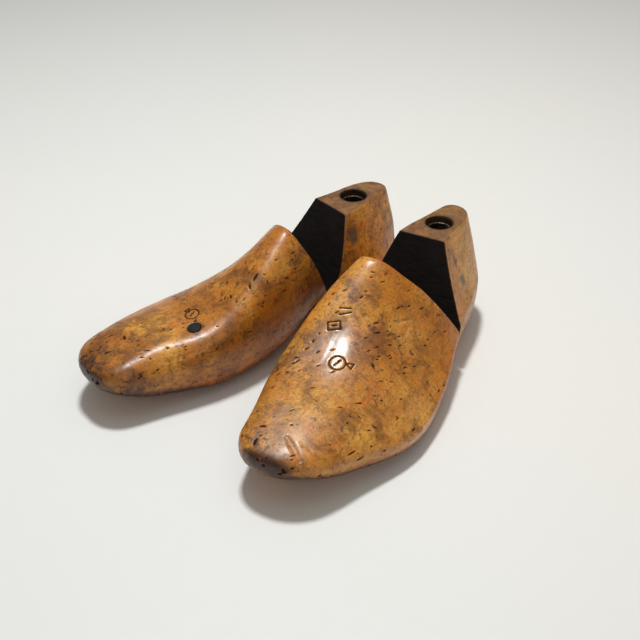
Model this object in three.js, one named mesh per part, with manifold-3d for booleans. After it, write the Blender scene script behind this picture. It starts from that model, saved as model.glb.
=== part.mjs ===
// A pair of hinged wooden shoe lasts, standing side by side with their heels together and toes turned out.
// Each last is turned in one piece, then sawn by a V notch and a kerf into a forepart and a heel block.
// A steel link in two slots, on two cross pins, lets the heel block fold up and forward into the notch.
// Millimetres, +Z up, toes towards -Y. The origin is under the centre of the pair's bounding box.
import * as THREE from 'three';
import { mergeVertices } from 'three/addons/utils/BufferGeometryUtils.js';
import Module from 'manifold-3d';

const wasm = await Module();
wasm.setup();

// ---- driving dimensions ----

// How the pair stands: half the distance between the heel backs, the left one's step back, and the toes' turn.
const HEEL_BACK_X = 25.5;
const HEEL_BACK_Y = 2.8;
const TOE_OUT = THREE.MathUtils.degToRad(11.3);

// Cross sections of a left last, with x towards the little toe. `sole` is the height of the sole's middle,
// `inner` and `outer` the feather edges as [x, z], `bulge` how far the inner and the outer side swell past
// them, `widest` how high they do so as a share of the way up, and `ridge` the top of the section as [x, z].
// `fullness` is 2 for a round shoulder, 1 for a straight slope and less for a hollow one. The sections lie as
// the parallels of a sphere do: close together at the heel and the toe, which makes both ends round.
const LAST_LENGTH = 240;
const SECTIONS = [
  { sole: 9, inner: [-0.3, 9], outer: [0.3, 9], bulge: [0, 0], widest: [0.22, 0.22], ridge: [0, 112], fullness: [1.4, 1.4] },
  { sole: 1, inner: [-13, 4], outer: [15, 5], bulge: [3.5, 4.5], widest: [0.22, 0.22], ridge: [0, 115], fullness: [1, 1.15] },
  { sole: 0, inner: [-26, 6], outer: [23, 5], bulge: [5.5, 5.5], widest: [0.22, 0.22], ridge: [1, 126], fullness: [0.88, 0.85] },
  { sole: 3, inner: [-21, 22], outer: [28, 5], bulge: [7.5, 6.5], widest: [0.22, 0.22], ridge: [-5, 108], fullness: [1.25, 1] },
  { sole: 5, inner: [-32, 9], outer: [41, 2], bulge: [6, 4], widest: [0.34, 0.22], ridge: [-13, 80.5], fullness: [2.1, 0.95] },
  { sole: 0, inner: [-37, 5], outer: [42.5, 5], bulge: [5, 4.5], widest: [0.48, 0.22], ridge: [-13, 51], fullness: [2.6, 1.25] },
  { sole: 3, inner: [-32.5, 12], outer: [27, 11], bulge: [2.5, 4], widest: [0.4, 0.3], ridge: [-12, 44.5], fullness: [2, 1.7] },
  { sole: 16, inner: [-25.5, 19], outer: [13.5, 20], bulge: [2.5, 3.5], widest: [0.4, 0.4], ridge: [-14, 37.5], fullness: [2.2, 2] },
  { sole: 23, inner: [-9.5, 24], outer: [-3.5, 24], bulge: [1, 1], widest: [0.4, 0.4], ridge: [-7, 32], fullness: [2, 2] },
];
const CREST = 0.14;             // rounding of the ridge, as a share of the section's height
const SOLE_FLATNESS = 4;        // power of the sole's crown: higher is flatter with tighter edges
const HEEL_LEAN = 7;            // how far the back of the heel leans forward at the top
const HEEL_LEAN_FROM = 28;      // height at which the back of the heel stands furthest out
const HEEL_LEAN_RISE = 45;      // height from there to the top
const HEEL_LEAN_REACH = 70;     // distance from the heel over which the lean fades out

// The saw cuts and the top face, all as distances from the back of the heel and heights above the floor.
const KERF_AT = 75;
const KERF_WIDTH = 0.8;
const NOTCH_HEIGHT = 24;
const NOTCH_FRONT_LEAN = THREE.MathUtils.degToRad(23.5);
const NOTCH_REAR_LEAN = THREE.MathUtils.degToRad(21.5);
const TOP_HEIGHT = 73;
const APEX_RADIUS = 6.5;        // round of the forepart's peak, seen from the side
const APEX_HEIGHT = 76;         // where that round starts on the notch face
const APEX_SWEEP = THREE.MathUtils.degToRad(127);

// The hinge: a flat link with an eye at the front pin and a window for the spring and the rear pin.
const PIN_OFFSET = 13;
const PIN_HEIGHT = 26;
const PIN_RADIUS = 2.5;
const LINK_THICKNESS = 5;
const LINK_HALF_HEIGHT = 6.5;
const LINK_SWING = THREE.MathUtils.degToRad(20);
const SLOT_CLEARANCE = 0.6;
const GAP = 0.3;
const PIN_BLIND_END = 18;        // all four pins are driven from the same side and stop inside the wood
const PIN_HEADS = { left: { front: -29, rear: -27 }, right: { front: -36.5, rear: -32 } };
const WINDOW_START = 8;
const SPRING_RADIUS = 1.8;
const SPRING_WIRE = 0.45;
const SPRING_TURNS = 6;

// The lined hole in the heel block's top.
const HOLE_AT = 33.5;
const HOLE_RADIUS = 8;
const HOLE_DEPTH = 45;
const THIMBLE_BORE = 6.35;
const THIMBLE_LENGTH = 38;
const THIMBLE_RECESS = 4;

// The dark peg let into the right last's upper, at a place on its surface and square to it.
const PEG_PLACE = new THREE.Vector3(24, -176, 42.2);
const PEG_DIRECTION = new THREE.Vector3(0.04, -0.17, 0.98).normalize();
const PEG_RADIUS = 4;
const PEG_LENGTH = 12;

// Fineness of the meshes.
const AROUND = { sole: 8, side: 2, upper: 12 };
const RING = AROUND.sole + 2 * AROUND.side + 2 * AROUND.upper;
const ALONG = 40;
const ROUND = 24;
const FAR = 200;                // further than any piece reaches

// ---- materials ----

function material(colour, roughness, metalness) {
  return new THREE.MeshStandardMaterial({ color: colour, roughness, metalness });
}
const varnishedWood = () => material(0xb06a24, 0.3, 0);
const steel = () => material(0x77736c, 0.4, 1);
const springSteel = () => material(0x4c4a48, 0.35, 1);
const darkPeg = () => material(0x1c1d22, 0.5, 0);

// ---- solids: three.js geometry in, three.js geometry out, with the cuts made on closed solids ----

function toSolid(geometry) {
  const bare = new THREE.BufferGeometry();
  bare.setAttribute('position', geometry.getAttribute('position').clone());
  const index = geometry.getIndex();
  if (index) {
    bare.setIndex(index.clone());
  }
  const merged = mergeVertices(bare, 1e-4);
  const mesh = new wasm.Mesh({
    numProp: 3,
    vertProperties: new Float32Array(merged.getAttribute('position').array),
    triVerts: new Uint32Array(merged.getIndex().array),
  });
  return new wasm.Manifold(mesh);
}

function toGeometry(solid) {
  const mesh = solid.getMesh();
  const geometry = new THREE.BufferGeometry();
  geometry.setAttribute('position', new THREE.BufferAttribute(mesh.vertProperties, 3));
  geometry.setIndex(new THREE.BufferAttribute(mesh.triVerts, 1));
  return geometry;
}

// Extrudes a shape drawn in the last's side view (x of the shape along the last, y up) across its width.
function acrossLast(shape, from, to, curveSegments = ROUND) {
  const geometry = new THREE.ExtrudeGeometry(shape, { depth: to - from, bevelEnabled: false, curveSegments });
  const sideView = new THREE.Matrix4().makeBasis(
    new THREE.Vector3(0, 1, 0),
    new THREE.Vector3(0, 0, 1),
    new THREE.Vector3(1, 0, 0),
  );
  geometry.applyMatrix4(sideView);
  return geometry.translate(from, 0, 0);
}

function crossCylinder(radius, from, to, along, height) {
  const geometry = new THREE.CylinderGeometry(radius, radius, to - from, ROUND);
  geometry.rotateZ(Math.PI / 2);
  return geometry.translate((from + to) / 2, along, height);
}

// ---- the shape of a last ----

// A smooth line through one pair of numbers per section, read at t from 0 at the heel to 1 at the toe.
function guide(pick) {
  const points = SECTIONS.map((section) => new THREE.Vector3(...pick(section), 0));
  return new THREE.CatmullRomCurve3(points, false, 'catmullrom', 0.5);
}
const GUIDES = {
  inner: guide((section) => section.inner),
  outer: guide((section) => section.outer),
  ridge: guide((section) => section.ridge),
  bulge: guide((section) => section.bulge),
  widest: guide((section) => section.widest),
  fullness: guide((section) => section.fullness),
  sole: guide((section) => [0, section.sole]),
};

// The upper quarter of a section on one side, from its widest point (lift 0) to the ridge (lift 1).
function upperPoint(feather, bulge, ridge, fullness, widest, lift) {
  const angle = lift * Math.PI / 2;
  const height = ridge.y - feather.y;
  const span = height * (1 - widest);
  const x = ridge.x + (feather.x + bulge - ridge.x) * Math.cos(angle) ** (2 / fullness);
  const drop = span * (1 - Math.sin(angle) ** (2 / fullness));
  const crest = CREST * height;
  const rounded = Math.hypot(drop, crest) * span / Math.hypot(span, crest);
  return [x, ridge.y - rounded];
}

// The lower quarter on one side, from the feather edge (lift 0) to the widest point (lift 1).
function lowerPoint(feather, bulge, ridge, widest, lift) {
  const angle = lift * Math.PI / 2;
  const rise = widest * (ridge.y - feather.y);
  return [feather.x + bulge * Math.sin(angle), feather.y + rise * (1 - Math.cos(angle))];
}

// The sole, from the inner feather edge (share 0) to the outer one (share 1).
function solePoint(inner, outer, middle, share) {
  const crown = 1 - Math.abs(2 * share - 1) ** SOLE_FLATNESS;
  const straight = THREE.MathUtils.lerp(inner.y, outer.y, share);
  const height = straight + (middle - (inner.y + outer.y) / 2) * crown;
  return [THREE.MathUtils.lerp(inner.x, outer.x, share), Math.max(0, height)];
}

// One section's outline at t, anticlockwise from the outer feather edge, seen from the toe.
function sectionRing(t) {
  const inner = GUIDES.inner.getPoint(t);
  const outer = GUIDES.outer.getPoint(t);
  const ridge = GUIDES.ridge.getPoint(t);
  const bulge = GUIDES.bulge.getPoint(t);
  const fullness = GUIDES.fullness.getPoint(t);
  const widest = GUIDES.widest.getPoint(t);
  const middle = GUIDES.sole.getPoint(t).y;
  const along = -LAST_LENGTH * (1 - Math.cos(Math.PI * t)) / 2;
  const flat = [];
  for (let i = 0; i < AROUND.side; i++) {
    flat.push(lowerPoint(outer, bulge.y, ridge, widest.y, i / AROUND.side));
  }
  for (let i = 0; i < AROUND.upper; i++) {
    flat.push(upperPoint(outer, bulge.y, ridge, fullness.y, widest.y, i / AROUND.upper));
  }
  for (let i = AROUND.upper; i > 0; i--) {
    flat.push(upperPoint(inner, -bulge.x, ridge, fullness.x, widest.x, i / AROUND.upper));
  }
  for (let i = AROUND.side; i > 0; i--) {
    flat.push(lowerPoint(inner, -bulge.x, ridge, widest.x, i / AROUND.side));
  }
  for (let i = 0; i < AROUND.sole; i++) {
    flat.push(solePoint(inner, outer, middle, i / AROUND.sole));
  }
  return flat.map(([x, z]) => new THREE.Vector3(x, along - heelLean(along, z), z));
}

function heelLean(y, z) {
  const fade = Math.max(0, 1 + y / HEEL_LEAN_REACH) ** 2;
  return HEEL_LEAN * ((z - HEEL_LEAN_FROM) / HEEL_LEAN_RISE) ** 2 * fade;
}

// The uncut last: a cylinder whose rings are moved onto the sections. side is 1 for left and -1 for right.
function wholeLast(side) {
  const geometry = new THREE.CylinderGeometry(1, 1, 1, RING, ALONG);
  const position = geometry.getAttribute('position');
  const rings = [];
  for (let j = 0; j <= ALONG; j++) {
    rings.push(sectionRing(j / ALONG));
  }
  const centres = rings.map((ring) => {
    const sum = ring.reduce((total, point) => total.add(point), new THREE.Vector3());
    return sum.divideScalar(RING);
  });
  for (let i = 0; i < position.count; i++) {
    const row = Math.round((0.5 - position.getY(i)) * ALONG);
    const x = position.getX(i);
    const z = position.getZ(i);
    const turn = Math.round(Math.atan2(x, z) / (2 * Math.PI) * RING);
    const onAxis = Math.hypot(x, z) < 0.5;
    const point = onAxis ? centres[row] : rings[row][(turn + RING) % RING];
    position.setXYZ(i, point.x * side, point.y, point.z);
  }
  if (side > 0) {
    turnInsideOut(geometry);
  }
  return toSolid(geometry);
}

function turnInsideOut(geometry) {
  const index = geometry.getIndex();
  for (let i = 0; i < index.count; i += 3) {
    const first = index.getX(i);
    index.setX(i, index.getX(i + 1));
    index.setX(i + 1, first);
  }
}

// ---- the saw cuts ----

// Everything in front of the kerf and the notch, with the peak rounded over.
function foreProfile() {
  const front = -KERF_AT - KERF_WIDTH / 2;
  const rise = APEX_HEIGHT - NOTCH_HEIGHT;
  const peak = new THREE.Vector2(front - rise * Math.tan(NOTCH_FRONT_LEAN), APEX_HEIGHT);
  const centre = new THREE.Vector2(
    peak.x - APEX_RADIUS * Math.cos(NOTCH_FRONT_LEAN),
    peak.y - APEX_RADIUS * Math.sin(NOTCH_FRONT_LEAN),
  );
  const shape = new THREE.Shape();
  shape.moveTo(-FAR * 2, -FAR);
  shape.lineTo(front, -FAR);
  shape.lineTo(front, NOTCH_HEIGHT);
  shape.lineTo(peak.x, peak.y);
  shape.absarc(centre.x, centre.y, APEX_RADIUS, NOTCH_FRONT_LEAN, APEX_SWEEP, false);
  shape.lineTo(centre.x + APEX_RADIUS * Math.cos(APEX_SWEEP), FAR);
  shape.lineTo(-FAR * 2, FAR);
  shape.closePath();
  return shape;
}

// Everything behind them, up to the flat top.
function heelProfile() {
  const rear = -KERF_AT + KERF_WIDTH / 2;
  const shape = new THREE.Shape();
  shape.moveTo(rear, -FAR);
  shape.lineTo(FAR, -FAR);
  shape.lineTo(FAR, TOP_HEIGHT);
  shape.lineTo(rear + (TOP_HEIGHT - NOTCH_HEIGHT) * Math.tan(NOTCH_REAR_LEAN), TOP_HEIGHT);
  shape.lineTo(rear, NOTCH_HEIGHT);
  shape.closePath();
  return shape;
}

// The slot that the link lies and swings in. ahead is 1 where the kerf lies towards the heel, else -1.
function slotCutter(pinAt, ahead) {
  const reach = LINK_HALF_HEIGHT + SLOT_CLEARANCE;
  const lip = new THREE.Vector2(-Math.sin(LINK_SWING), Math.cos(LINK_SWING)).multiplyScalar(reach);
  const length = 2 * PIN_OFFSET;
  const shape = new THREE.Shape();
  shape.moveTo(0, -reach);
  shape.lineTo(length, -reach);
  shape.lineTo(length, lip.y + (length - lip.x) * Math.tan(LINK_SWING));
  shape.lineTo(lip.x, lip.y);
  shape.absarc(0, 0, reach, Math.PI / 2 + LINK_SWING, 1.5 * Math.PI, false);
  const half = LINK_THICKNESS / 2 + SLOT_CLEARANCE;
  const geometry = acrossLast(shape, -half, half, ROUND / 2);
  if (ahead < 0) {
    geometry.rotateZ(Math.PI);
  }
  return toSolid(geometry.translate(0, pinAt, PIN_HEIGHT));
}

function pinHole(pinAt) {
  return toSolid(crossCylinder(PIN_RADIUS + GAP, -FAR, PIN_BLIND_END + GAP, pinAt, PIN_HEIGHT));
}

// ---- the pieces of one last ----

const FRONT_PIN_AT = -KERF_AT - PIN_OFFSET;
const REAR_PIN_AT = -KERF_AT + PIN_OFFSET;

function forepart(side) {
  const profile = toSolid(acrossLast(foreProfile(), -FAR, FAR, 10));
  const block = wholeLast(side).intersect(profile);
  return block.subtract(slotCutter(FRONT_PIN_AT, 1)).subtract(pinHole(FRONT_PIN_AT));
}

function heelBlock(side) {
  const profile = toSolid(acrossLast(heelProfile(), -FAR, FAR));
  const hole = new THREE.CylinderGeometry(HOLE_RADIUS, HOLE_RADIUS, HOLE_DEPTH * 2, ROUND);
  hole.rotateX(Math.PI / 2).translate(0, -HOLE_AT, TOP_HEIGHT);
  const block = wholeLast(side).intersect(profile).subtract(toSolid(hole));
  return block.subtract(slotCutter(REAR_PIN_AT, -1)).subtract(pinHole(REAR_PIN_AT));
}

// A flat bar with round ends, an eye for the front pin and a long window for the spring and the rear pin.
function hingeLink() {
  const quarter = Math.PI / 2;
  const shape = new THREE.Shape();
  shape.absarc(FRONT_PIN_AT, PIN_HEIGHT, LINK_HALF_HEIGHT, quarter, 3 * quarter, false);
  shape.absarc(REAR_PIN_AT, PIN_HEIGHT, LINK_HALF_HEIGHT, -quarter, quarter, false);
  const eye = new THREE.Path();
  eye.absarc(FRONT_PIN_AT, PIN_HEIGHT, PIN_RADIUS + GAP, 0, 4 * quarter, false);
  const window = new THREE.Path();
  window.absarc(FRONT_PIN_AT + WINDOW_START, PIN_HEIGHT, PIN_RADIUS + GAP, quarter, 3 * quarter, false);
  window.absarc(REAR_PIN_AT, PIN_HEIGHT, PIN_RADIUS + GAP, -quarter, quarter, false);
  shape.holes.push(eye, window);
  return acrossLast(shape, -LINK_THICKNESS / 2, LINK_THICKNESS / 2, 12);
}

// The spring's centre line: a helix along the window, between its front end and the rear pin.
class SpringLine extends THREE.Curve {
  getPoint(t, target = new THREE.Vector3()) {
    const start = FRONT_PIN_AT + WINDOW_START - PIN_RADIUS + SPRING_WIRE + GAP;
    const end = REAR_PIN_AT - PIN_RADIUS - SPRING_WIRE - GAP;
    const angle = 2 * Math.PI * SPRING_TURNS * t;
    const x = SPRING_RADIUS * Math.cos(angle);
    const z = PIN_HEIGHT + SPRING_RADIUS * Math.sin(angle);
    return target.set(x, THREE.MathUtils.lerp(start, end, t), z);
  }
}

function hingeSpring() {
  const wire = new THREE.Shape().absarc(0, 0, SPRING_WIRE, 0, 2 * Math.PI, false);
  const steps = SPRING_TURNS * 9;
  return new THREE.ExtrudeGeometry(wire, { steps, curveSegments: 3, extrudePath: new SpringLine() });
}

function thimble() {
  const outer = HOLE_RADIUS - GAP;
  const profile = [
    new THREE.Vector2(THIMBLE_BORE, 0),
    new THREE.Vector2(outer, 0),
    new THREE.Vector2(outer, THIMBLE_LENGTH),
    new THREE.Vector2(THIMBLE_BORE, THIMBLE_LENGTH),
    new THREE.Vector2(THIMBLE_BORE, 0),
  ];
  const geometry = new THREE.LatheGeometry(profile, ROUND);
  geometry.rotateX(Math.PI / 2);
  return geometry.translate(0, -HOLE_AT, TOP_HEIGHT - THIMBLE_RECESS - THIMBLE_LENGTH);
}

// A cylinder standing on the upper's surface and reaching length into it.
function pegCylinder(radius, above, below) {
  const geometry = new THREE.CylinderGeometry(radius, radius, above + below, ROUND);
  geometry.translate(0, (above - below) / 2, 0);
  const turn = new THREE.Quaternion().setFromUnitVectors(new THREE.Vector3(0, 1, 0), PEG_DIRECTION);
  geometry.applyQuaternion(turn);
  return geometry.translate(PEG_PLACE.x, PEG_PLACE.y, PEG_PLACE.z);
}

// ---- the assembly ----

function piece(name, geometry, colour) {
  const mesh = new THREE.Mesh(geometry, colour);
  mesh.name = name;
  return mesh;
}

function makeLast(name, side) {
  let fore = forepart(side);
  const last = new THREE.Group();
  if (side < 0) {
    fore = fore.subtract(toSolid(pegCylinder(PEG_RADIUS + GAP, PEG_LENGTH, PEG_LENGTH + GAP)));
    last.add(piece(`${name}_vamp_peg`, pegCylinder(PEG_RADIUS, 0, PEG_LENGTH), darkPeg()));
  }
  const pin = (head, at) => crossCylinder(PIN_RADIUS, head, PIN_BLIND_END, at, PIN_HEIGHT);
  last.add(piece(`${name}_forepart`, toGeometry(fore), varnishedWood()));
  last.add(piece(`${name}_heel_block`, toGeometry(heelBlock(side)), varnishedWood()));
  last.add(piece(`${name}_hinge_link`, hingeLink(), steel()));
  last.add(piece(`${name}_hinge_spring`, hingeSpring(), springSteel()));
  last.add(piece(`${name}_front_pin`, pin(PIN_HEADS[name].front, FRONT_PIN_AT), steel()));
  last.add(piece(`${name}_rear_pin`, pin(PIN_HEADS[name].rear, REAR_PIN_AT), steel()));
  last.add(piece(`${name}_thimble`, thimble(), steel()));
  last.position.set(side * HEEL_BACK_X, side * HEEL_BACK_Y, 0);
  last.rotation.z = side * TOE_OUT;
  return last;
}

const pair = new THREE.Group();
pair.add(makeLast('left', 1));
pair.add(makeLast('right', -1));
pair.updateMatrixWorld(true);
const footprint = new THREE.Box3().setFromObject(pair, true).getCenter(new THREE.Vector3());
pair.position.set(-footprint.x, -footprint.y, 0);

export default pair;
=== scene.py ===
"""The looks of an old pair of hinged wooden shoe lasts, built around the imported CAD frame.

A last is drawn in millimetres in its own frame: the back of the heel at y 0, the toe at -y, z up from
the floor, and x towards the little toe, so that a right last is a left one mirrored. One matrix for each
last, found from its thimble and its hinge link in the frame, takes it to metres in the row frame.
"""

import math

import bmesh
import bpy
import numpy as np
from mathutils import Matrix, Vector


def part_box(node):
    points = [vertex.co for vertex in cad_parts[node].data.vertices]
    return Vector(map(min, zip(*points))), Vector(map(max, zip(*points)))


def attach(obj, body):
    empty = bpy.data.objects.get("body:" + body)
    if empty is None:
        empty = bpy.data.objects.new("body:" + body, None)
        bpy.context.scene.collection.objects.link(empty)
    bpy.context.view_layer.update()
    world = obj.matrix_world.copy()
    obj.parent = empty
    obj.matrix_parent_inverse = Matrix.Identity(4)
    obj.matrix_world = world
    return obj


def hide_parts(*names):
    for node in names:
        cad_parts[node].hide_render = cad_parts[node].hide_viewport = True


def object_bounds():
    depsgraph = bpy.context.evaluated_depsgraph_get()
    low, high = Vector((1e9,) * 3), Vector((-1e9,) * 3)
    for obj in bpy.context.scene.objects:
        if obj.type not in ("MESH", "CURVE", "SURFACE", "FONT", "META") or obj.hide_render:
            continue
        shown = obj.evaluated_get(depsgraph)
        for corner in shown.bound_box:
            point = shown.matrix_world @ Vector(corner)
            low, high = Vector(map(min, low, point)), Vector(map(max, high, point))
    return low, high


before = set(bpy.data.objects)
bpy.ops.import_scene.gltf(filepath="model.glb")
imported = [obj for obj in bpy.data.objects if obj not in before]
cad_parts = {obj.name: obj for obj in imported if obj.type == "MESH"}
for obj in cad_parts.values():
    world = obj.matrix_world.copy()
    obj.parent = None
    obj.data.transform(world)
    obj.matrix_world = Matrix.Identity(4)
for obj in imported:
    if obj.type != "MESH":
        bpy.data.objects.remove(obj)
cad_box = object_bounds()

MM = 0.001
SEED = 11

# ---- the last's shape: the same driving dimensions as the CAD ----

LAST_LENGTH = 240
# sole, inner edge x z, outer edge x z, bulge inner outer, ridge x z, fullness inner outer, widest inner outer
SECTIONS = [
    (9, -0.3, 9, 0.3, 9, 0, 0, 0, 112, 1.4, 1.4, 0.22, 0.22),
    (1, -13, 4, 15, 5, 3.5, 4.5, 0, 115, 1.0, 1.15, 0.22, 0.22),
    (0, -26, 6, 23, 5, 5.5, 5.5, 1, 126, 0.88, 0.85, 0.22, 0.22),
    (3, -21, 22, 28, 5, 7.5, 6.5, -5, 108, 1.25, 1, 0.22, 0.22),
    (5, -32, 9, 41, 2, 6, 4, -13, 80.5, 2.1, 0.95, 0.34, 0.22),
    (0, -37, 5, 42.5, 5, 5, 4.5, -13, 51, 2.6, 1.25, 0.48, 0.22),
    (3, -32.5, 12, 27, 11, 2.5, 4, -12, 44.5, 2.0, 1.7, 0.4, 0.3),
    (16, -25.5, 19, 13.5, 20, 2.5, 3.5, -14, 37.5, 2.2, 2, 0.4, 0.4),
    (23, -9.5, 24, -3.5, 24, 1, 1, -7, 32, 2, 2, 0.4, 0.4),
]
CREST = 0.14
SOLE_FLATNESS = 4
HEEL_LEAN, HEEL_LEAN_FROM, HEEL_LEAN_RISE, HEEL_LEAN_REACH = 7, 28, 45, 70

KERF_AT, KERF_WIDTH = 75, 0.8
NOTCH_HEIGHT = 24
NOTCH_FRONT_LEAN = math.radians(23.5)
NOTCH_REAR_LEAN = math.radians(21.5)
TOP_HEIGHT = 73
APEX_RADIUS, APEX_HEIGHT, APEX_SWEEP = 6.5, 76, math.radians(127)

# A shallow hollow in the instep, which the looks have and the CAD does not: place in plan, reach, depth,
# and the heights that it fades in between.
INSTEP_HOLLOW_AT = (-10, -139)
INSTEP_HOLLOW_REACH, INSTEP_HOLLOW_DEPTH = 17, 2.2
INSTEP_HOLLOW_FADE = (22, 32)

PIN_OFFSET, PIN_HEIGHT, PIN_RADIUS = 13, 26, 2.5
PIN_END = 18
FRONT_PIN_AT, REAR_PIN_AT = -KERF_AT - PIN_OFFSET, -KERF_AT + PIN_OFFSET
LINK_THICKNESS, LINK_HALF_HEIGHT, LINK_SWING = 5, 6.5, math.radians(20)
SLOT_CLEARANCE, GAP = 0.6, 0.3
WINDOW_START = 8
SPRING_RADIUS, SPRING_WIRE, SPRING_TURNS = 1.8, 0.45, 6
HOLE_AT, HOLE_RADIUS, HOLE_DEPTH = 33.5, 8, 45
THIMBLE_BORE, THIMBLE_RECESS, THIMBLE_LENGTH = 6.35, 4, 38
PEG_PLACE = np.array([-24, -176, 42.2])
PEG_DIRECTION = np.array([-0.04, -0.17, 0.98])
PEG_RADIUS, PEG_LENGTH, PEG_CLEARANCE = 4, 12, 0.15
FAR = 200

# ---- how finely it is meshed ----

VOXEL = 0.65
ROWS = 240
AROUND = {"sole": 40, "side": 10, "upper": 64}
# Edges of the metal pieces and of the peg are kept sharp above this many degrees.
SHARP_ABOVE = 38


def smoothstep(low, high, value):
    """0 where value is at low, 1 at high, and an S-shaped ramp between. low may be above high."""
    share = np.clip((value - low) / (high - low), 0, 1)
    return share * share * (3 - 2 * share)


# ---- the uncut last ----


def guide(t):
    """The section numbers at each t, from 0 at the heel to 1 at the toe, smoothly through SECTIONS."""
    known = np.array(SECTIONS, float)
    padded = np.vstack([2 * known[:1] - known[1:2], known, 2 * known[-1:] - known[-2:-1]])
    place = t * (len(known) - 1)
    start = np.clip(place.astype(int), 0, len(known) - 2)
    part = (place - start)[:, None]
    before, here, after, beyond = (padded[start + i] for i in range(4))
    leave, arrive = (after - before) / 2, (beyond - here) / 2
    return (
        here
        + leave * part
        + (3 * (after - here) - 2 * leave - arrive) * part**2
        + (2 * (here - after) + leave + arrive) * part**3
    )


def upper_quarter(edge_x, edge_z, bulge, ridge_x, ridge_z, fullness, widest, lift):
    angle = lift * math.pi / 2
    height = ridge_z - edge_z
    span = height * (1 - widest)
    x = ridge_x + (edge_x + bulge - ridge_x) * np.cos(angle) ** (2 / fullness)
    drop = span * (1 - np.sin(angle) ** (2 / fullness))
    crest = CREST * height
    return x, ridge_z - np.hypot(drop, crest) * span / np.hypot(span, crest)


def lower_quarter(edge_x, edge_z, bulge, ridge_z, widest, lift):
    angle = lift * math.pi / 2
    return edge_x + bulge * np.sin(angle), edge_z + widest * (ridge_z - edge_z) * (1 - np.cos(angle))


def sole_line(inner_x, inner_z, outer_x, outer_z, middle, share):
    crown = 1 - np.abs(2 * share - 1) ** SOLE_FLATNESS
    straight = inner_z + (outer_z - inner_z) * share
    z = straight + (middle - (inner_z + outer_z) / 2) * crown
    return inner_x + (outer_x - inner_x) * share, np.maximum(0, z)


def whole_last(side):
    """The uncut last as a closed mesh object, in millimetres in its own frame."""
    t = np.arange(ROWS + 1) / ROWS
    sole, ix, iz, ox, oz, inner, outer, rx, rz, fi, fo, wi, wo = (c[:, None] for c in guide(t).T)
    side_lift = np.arange(AROUND["side"]) / AROUND["side"]
    upper_lift = np.arange(AROUND["upper"]) / AROUND["upper"]
    share = np.arange(AROUND["sole"]) / AROUND["sole"]
    parts = [
        lower_quarter(ox, oz, outer, rz, wo, side_lift),
        upper_quarter(ox, oz, outer, rx, rz, fo, wo, upper_lift),
        upper_quarter(ix, iz, -inner, rx, rz, fi, wi, 1 - upper_lift),
        lower_quarter(ix, iz, -inner, rz, wi, 1 - side_lift),
        sole_line(ix, iz, ox, oz, sole, share),
    ]
    x = np.hstack([p[0] for p in parts])
    z = np.hstack([p[1] for p in parts])
    y = np.broadcast_to(-LAST_LENGTH * (1 - np.cos(math.pi * t))[:, None] / 2, x.shape)
    fade = np.maximum(0, 1 + y / HEEL_LEAN_REACH) ** 2
    y = y - HEEL_LEAN * ((z - HEEL_LEAN_FROM) / HEEL_LEAN_RISE) ** 2 * fade
    rings = np.stack([x * side, y, z], -1)
    around = rings.shape[1]
    points = np.vstack([rings.reshape(-1, 3), rings[0].mean(0), rings[-1].mean(0)])
    row, column = np.meshgrid(np.arange(ROWS), np.arange(around), indexing="ij")
    a, b = row * around + column, row * around + (column + 1) % around
    faces = np.stack([a, b, b + around, a + around], -1).reshape(-1, 4).tolist()
    heel, toe = len(points) - 2, len(points) - 1
    last_row = ROWS * around
    for i in range(around):
        j = (i + 1) % around
        faces += [(heel, j, i), (toe, last_row + i, last_row + j)]
    return make_object("whole_last", points, faces, tidy=True)


# ---- meshes ----


def make_object(name, points, faces, tidy=False):
    mesh = bpy.data.meshes.new(name)
    mesh.from_pydata(np.asarray(points).tolist(), [], faces)
    if tidy:
        work = bmesh.new()
        work.from_mesh(mesh)
        bmesh.ops.remove_doubles(work, verts=work.verts, dist=1e-4)
        bmesh.ops.dissolve_degenerate(work, edges=work.edges, dist=1e-4)
        bmesh.ops.recalc_face_normals(work, faces=work.faces)
        work.to_mesh(mesh)
        work.free()
    obj = bpy.data.objects.new(name, mesh)
    bpy.context.scene.collection.objects.link(obj)
    return obj


def prism(outline, low, high):
    """An outline of (y, z) points, extruded in x from low to high."""
    count = len(outline)
    points = [(x, y, z) for x in (low, high) for y, z in outline]
    faces = [tuple(range(count)), tuple(range(2 * count - 1, count - 1, -1))]
    for i in range(count):
        j = (i + 1) % count
        faces.append((i, j, j + count, i + count))
    return make_object("cutter", points, faces, tidy=True)


def arc(centre, radius, start, end, steps):
    """Points (y, z) on an arc of a circle."""
    angles = [start + (end - start) * i / steps for i in range(steps + 1)]
    return [(centre[0] + radius * math.cos(a), centre[1] + radius * math.sin(a)) for a in angles]


def turned(name, profile, steps):
    """A profile of (radius, height) points turned about z. Its ends close on the axis or on each other."""
    ring = [(2 * math.pi * i / steps) for i in range(steps)]
    points = [(r * math.cos(a), r * math.sin(a), h) for r, h in profile for a in ring]
    closed = profile[0] == profile[-1]
    faces = []
    for k in range(len(profile) - 1):
        for i in range(steps):
            j = (i + 1) % steps
            faces.append((k * steps + i, k * steps + j, (k + 1) * steps + j, (k + 1) * steps + i))
    if not closed:
        faces.append(tuple(range(steps))[::-1])
        faces.append(tuple(range((len(profile) - 1) * steps, len(profile) * steps)))
    return make_object(name, points, faces, tidy=True)


def remove(*objects):
    for obj in objects:
        mesh = obj.data
        bpy.data.objects.remove(obj)
        bpy.data.meshes.remove(mesh)


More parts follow.
